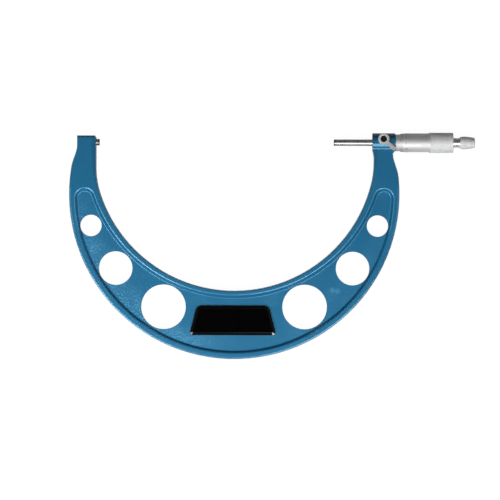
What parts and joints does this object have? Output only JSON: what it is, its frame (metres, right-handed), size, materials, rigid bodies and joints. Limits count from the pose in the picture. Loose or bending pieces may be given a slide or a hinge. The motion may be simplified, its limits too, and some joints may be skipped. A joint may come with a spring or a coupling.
{
  "type": "outside micrometer",
  "caption": "Large outside micrometer with a blue bow frame, carbide faces, screw spindle, satin thimble, ratchet stop and lever lock.",
  "frame": {"origin": "centre of the anvil's measuring face", "axes": "+X along the spindle towards the ratchet, +Y up out of the throat, +Z towards the reader of the scale"},
  "size_m": [0.3899, 0.2179, 0.0222],
  "materials": {
    "blue_enamel": "semi-gloss enamel with a fine hammered skin",
    "satin_chrome": "satin chrome",
    "ground_steel": "ground steel",
    "carbide": "lapped carbide",
    "black_steel": "black oxide",
    "gloss_black": "glossy black moulded plate"
  },
  "bodies": {
    "frame": {"frame": "blue_enamel", "anvil": "ground_steel", "anvil_tip": "carbide", "inner_sleeve": "ground_steel", "adjusting_nut": "black_steel", "graduated_sleeve": "satin_chrome", "front_plate": "gloss_black", "rear_plate": "gloss_black", "lock_washer": "black_steel"},
    "spindle_end": {"spindle_tip": "carbide"},
    "thimble": {"spindle": "ground_steel", "thimble": "satin_chrome", "ratchet_screw": "ground_steel", "ratchet_spring": "ground_steel", "ratchet_cap_screw": "ground_steel"},
    "claw": {"ratchet_claw": "ground_steel"},
    "knob": {"ratchet_knob": "satin_chrome", "ratchet_crown": "ground_steel"},
    "lever": {"lock_lever": "satin_chrome", "lock_screw": "black_steel"},
    "lock_pin": {"lock_pin": "ground_steel"}
  },
  "joints": [
    {"name": "spindle_travel", "type": "slide", "parent": "frame", "child": "spindle_end", "axis": [1, 0, 0], "range_m": [0, 0.025]},
    {"name": "thimble_turn", "type": "hinge", "parent": "spindle_end", "child": "thimble", "pos_m": [0.2889, 0, 0], "axis": [1, 0, 0], "range_deg": [0, 18000]},
    {"name": "ratchet_turn", "type": "hinge", "parent": "thimble", "child": "knob", "pos_m": [0.34345, 0, 0], "axis": [1, 0, 0], "continuous": true},
    {"name": "ratchet_click", "type": "slide", "parent": "thimble", "child": "claw", "axis": [-1, 0, 0], "range_m": [0, 0.0006], "stiffness_N_per_m": 500, "deforming": ["ratchet_spring"]},
    {"name": "lock_lever_turn", "type": "hinge", "parent": "frame", "child": "lever", "pos_m": [0.2727, 0.0034, 0.0098], "axis": [0, 0, 1], "range_deg": [-65, 0]},
    {"name": "lock_pin_draw", "type": "slide", "parent": "frame", "child": "lock_pin", "axis": [0, 0, 1], "range_m": [0, 0.00009]}
  ],
  "couplings": [
    {"joint": "thimble_turn", "follows": "spindle_travel", "rad_per_m": 12566},
    {"joint": "lock_lever_turn", "follows": "lock_pin_draw", "rad_per_m": -12566}
  ]
}
